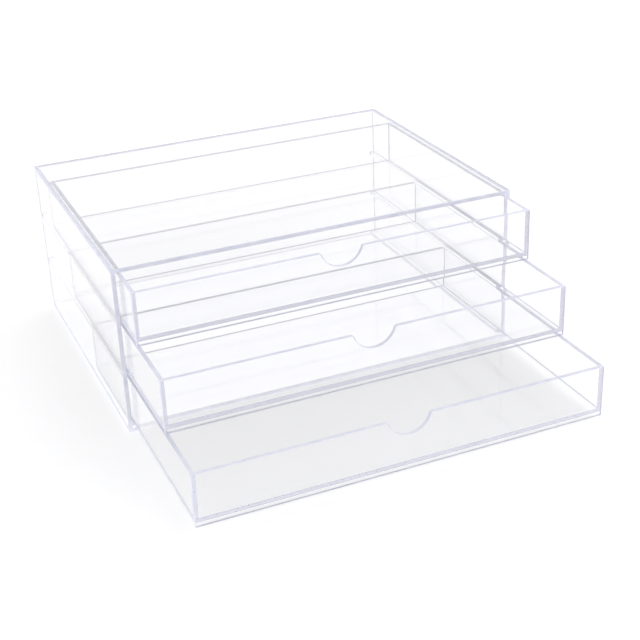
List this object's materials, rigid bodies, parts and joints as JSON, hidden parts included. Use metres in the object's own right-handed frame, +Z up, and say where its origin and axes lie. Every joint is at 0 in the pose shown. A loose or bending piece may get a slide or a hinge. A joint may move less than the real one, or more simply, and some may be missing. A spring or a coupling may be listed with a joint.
{
  "type": "letter tray stack with drawers",
  "caption": "Clear acrylic desk organizer: an open-fronted case with shallow stacked pull-out trays for letter-size paper, each with a thumb notch in its front.",
  "frame": {"origin": "middle of the case's footprint, on the surface it stands on", "axes": "+X to the right seen from the front, drawers pull out towards -Y, +Z up"},
  "size_m": [0.3084, 0.37, 0.1266],
  "materials": {
    "clear_acrylic": "clear, polished faces, pale edges"
  },
  "bodies": {
    "case": {"case_floor": "clear_acrylic", "case_roof": "clear_acrylic", "case_left_side": "clear_acrylic", "case_right_side": "clear_acrylic", "case_back": "clear_acrylic", "bottom_rail_left": "clear_acrylic", "bottom_rail_right": "clear_acrylic", "middle_rail_left": "clear_acrylic", "middle_rail_right": "clear_acrylic", "top_rail_left": "clear_acrylic", "top_rail_right": "clear_acrylic"},
    "top_drawer": {"top_drawer_floor": "clear_acrylic", "top_drawer_left_side": "clear_acrylic", "top_drawer_right_side": "clear_acrylic", "top_drawer_back": "clear_acrylic", "top_drawer_front": "clear_acrylic"},
    "middle_drawer": {"middle_drawer_floor": "clear_acrylic", "middle_drawer_left_side": "clear_acrylic", "middle_drawer_right_side": "clear_acrylic", "middle_drawer_back": "clear_acrylic", "middle_drawer_front": "clear_acrylic"},
    "bottom_drawer": {"bottom_drawer_floor": "clear_acrylic", "bottom_drawer_left_side": "clear_acrylic", "bottom_drawer_right_side": "clear_acrylic", "bottom_drawer_back": "clear_acrylic", "bottom_drawer_front": "clear_acrylic"}
  },
  "joints": [
    {"name": "top_drawer_slide", "type": "slide", "parent": "case", "child": "top_drawer", "axis": [0, -1, 0], "range_m": [-0.035, 0.155]},
    {"name": "middle_drawer_slide", "type": "slide", "parent": "case", "child": "middle_drawer", "axis": [0, -1, 0], "range_m": [-0.085, 0.105]},
    {"name": "bottom_drawer_slide", "type": "slide", "parent": "case", "child": "bottom_drawer", "axis": [0, -1, 0], "range_m": [-0.136, 0.054]}
  ]
}
